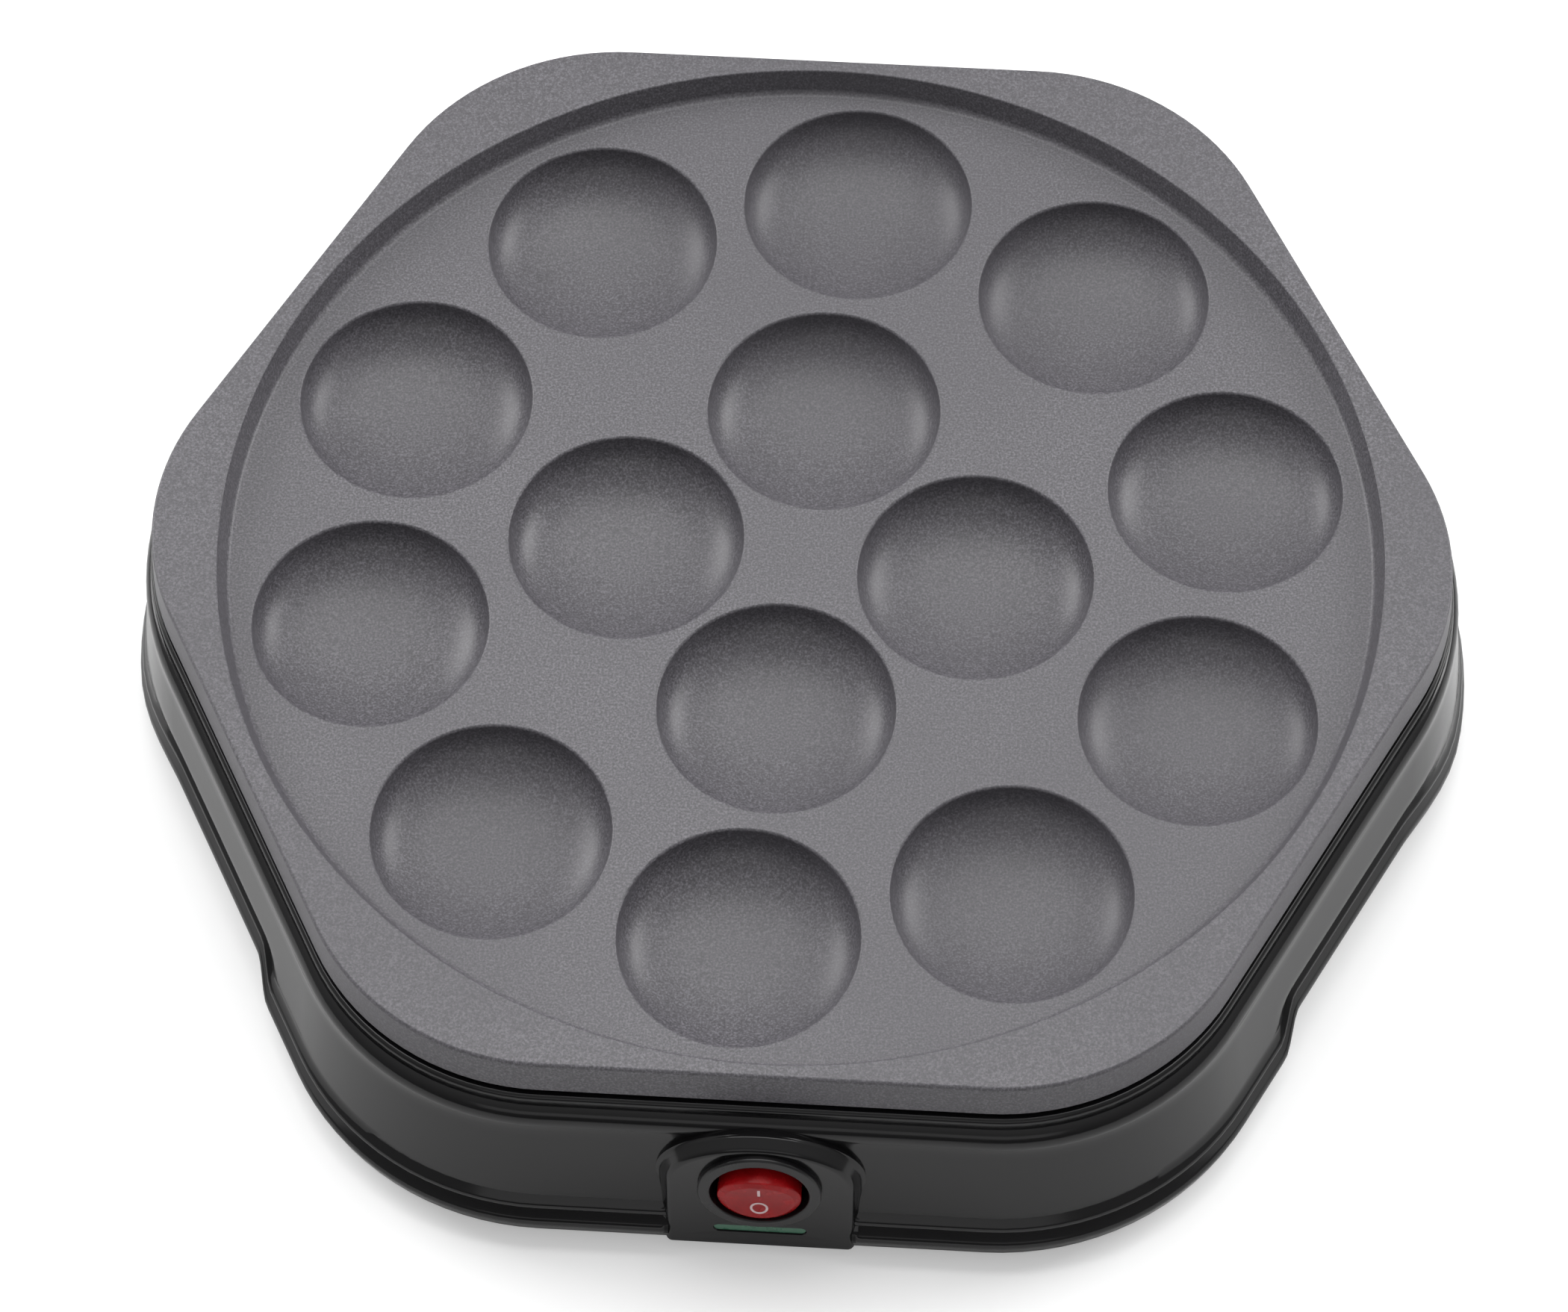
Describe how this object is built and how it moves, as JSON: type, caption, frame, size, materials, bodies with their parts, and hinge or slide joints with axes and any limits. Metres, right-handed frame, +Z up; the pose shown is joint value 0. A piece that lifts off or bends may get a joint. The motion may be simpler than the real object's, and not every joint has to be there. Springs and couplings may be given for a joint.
{
  "type": "mini pancake and donut maker",
  "caption": "Low six-sided electric maker with a round recessed cooking plate of shallow cups, a front rocker switch and an indicator.",
  "frame": {"origin": "on the table under the middle of the body, level with the undersides of the rubber feet", "axes": "+Z up, -Y towards the user (the side with the switch), +X to the user's right"},
  "size_m": [0.2546, 0.2481, 0.048],
  "materials": {
    "plate_coating": "speckled dark non-stick coat on cast aluminium",
    "black_housing": "glossy black",
    "base_plastic": "matt black",
    "foot_rubber": "matt black rubber",
    "screw_steel": "zinc-plated steel",
    "element_steel": "heat-tinted steel sheath",
    "bead_ceramic": "white ceramic",
    "strip_steel": "plain steel strip",
    "shield_aluminium": "bright rolled aluminium",
    "bakelite": "dark phenolic",
    "fuse_sleeve": "white glass-fibre sleeve",
    "switch_black": "fine satin black",
    "rocker_red": "translucent red",
    "contact_brass": "bare brass",
    "lens_green": "dark green translucent",
    "lamp_glass": "clear glass bulb",
    "holder_plastic": "natural nylon",
    "brown_wire": "brown insulation",
    "blue_wire": "blue insulation",
    "white_wire": "white silicone insulation",
    "earth_wire": "green and yellow insulation",
    "inlet_rubber": "black rubber"
  },
  "bodies": {
    "maker": {"cooking_plate": "plate_coating", "housing": "black_housing", "base_plate": "base_plastic", "rubber_feet": "foot_rubber", "base_screws": "screw_steel", "plate_screws": "screw_steel", "heating_element": "element_steel", "element_beads": "bead_ceramic", "element_pins": "screw_steel", "element_clamps": "strip_steel", "clamp_screws": "screw_steel", "heat_shield": "shield_aluminium", "shield_screws": "screw_steel", "thermostat": "bakelite", "thermostat_bracket": "strip_steel", "thermostat_screws": "screw_steel", "thermal_fuse": "fuse_sleeve", "fuse_clip": "strip_steel", "switch_body": "switch_black", "switch_bridge": "contact_brass", "switch_terminals": "contact_brass", "indicator_lens": "lens_green", "lamp_holder": "holder_plastic", "indicator_lamp": "lamp_glass", "terminal_block": "holder_plastic", "block_screws": "contact_brass", "cable_inlet": "inlet_rubber", "cord_clamp": "base_plastic", "cord_clamp_screws": "screw_steel", "earth_tag": "contact_brass", "earth_screw": "contact_brass", "live_wire": "brown_wire", "stat_wire": "white_wire", "fuse_wire": "white_wire", "element_wire": "white_wire", "neutral_wire": "blue_wire", "earth_wire": "earth_wire", "lamp_leads": "white_wire"},
    "switch_rocker": {"rocker": "rocker_red"}
  },
  "joints": [
    {"name": "rocker_tilt", "type": "hinge", "parent": "maker", "child": "switch_rocker", "pos_m": [0, -0.11696, 0.0225], "axis": [1, 0, 0], "range_deg": [-16, 0]}
  ]
}
